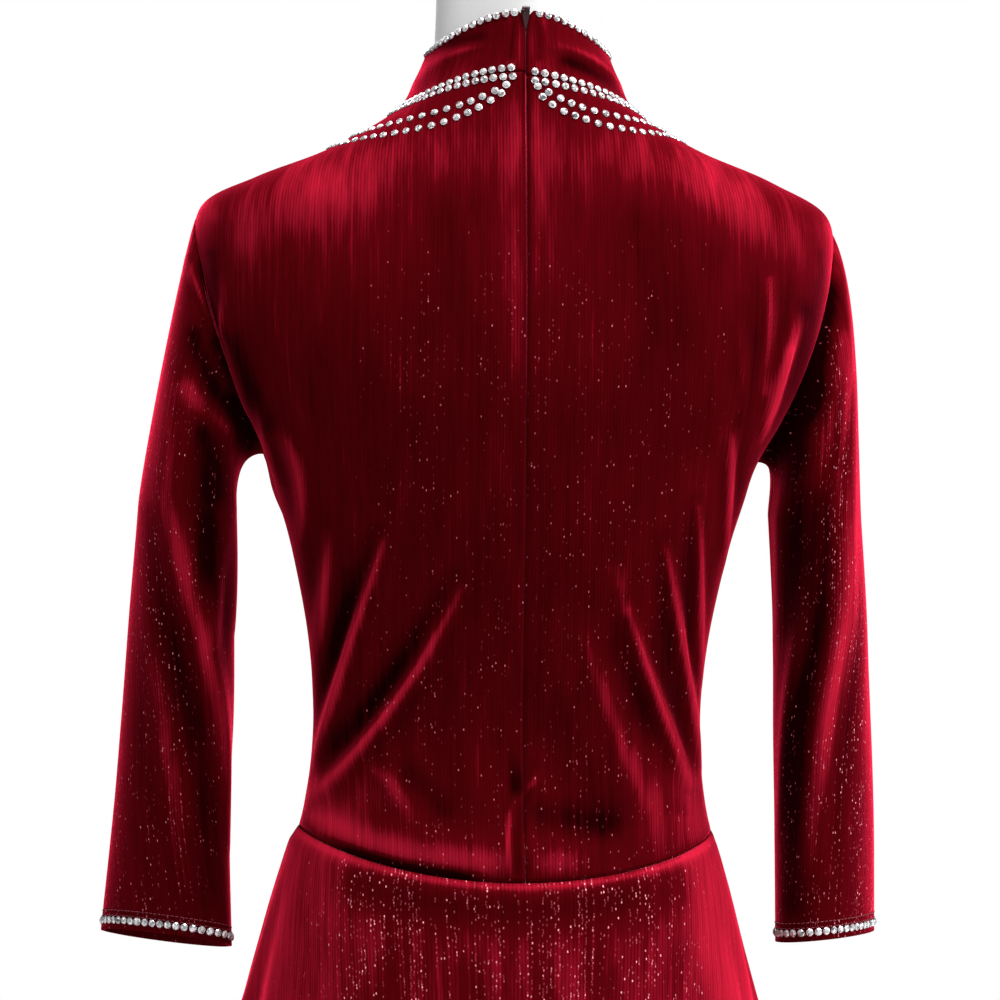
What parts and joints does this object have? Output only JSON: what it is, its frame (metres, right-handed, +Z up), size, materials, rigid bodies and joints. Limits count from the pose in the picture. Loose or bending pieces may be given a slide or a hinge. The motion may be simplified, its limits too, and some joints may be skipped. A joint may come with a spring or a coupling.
{
  "type": "figure skating dress on a dress form",
  "caption": "Ribbed velvet skating dress with funnel collar, three-quarter sleeves and flared skirt, on a limbless dress form with a table stand.",
  "frame": {"origin": "centre of the stand plate's underside, on the table", "axes": "+Z up through the pole and the neck; the dress faces -Y, its open back with the zip faces +Y, and its wearer's left is +X"},
  "size_m": [0.485, 0.3527, 1.053],
  "materials": {
    "velvet": "ribbed stretch velvet with fine glitter",
    "tape": "woven zip tape",
    "zip_lacquer": "satin lacquer",
    "form_shell": "smooth satin white",
    "stand_steel": "brushed"
  },
  "bodies": {
    "dress_on_form": {"bodice_front": "velvet", "bodice_back_left": "velvet", "bodice_back_right": "velvet", "collar": "velvet", "sleeve_left": "velvet", "sleeve_right": "velvet", "skirt_front": "velvet", "skirt_back": "velvet", "zip_tape": "tape", "zip_slider": "zip_lacquer", "form_torso": "form_shell", "form_pole": "stand_steel", "form_plate": "stand_steel"},
    "zip_pull": {"zip_pull": "zip_lacquer"}
  },
  "joints": [
    {"name": "zip_pull_swing", "type": "hinge", "parent": "dress_on_form", "child": "zip_pull", "pos_m": [0, 0.0572, 1.0042], "axis": [1, 0, 0], "range_deg": [0, 150]}
  ]
}
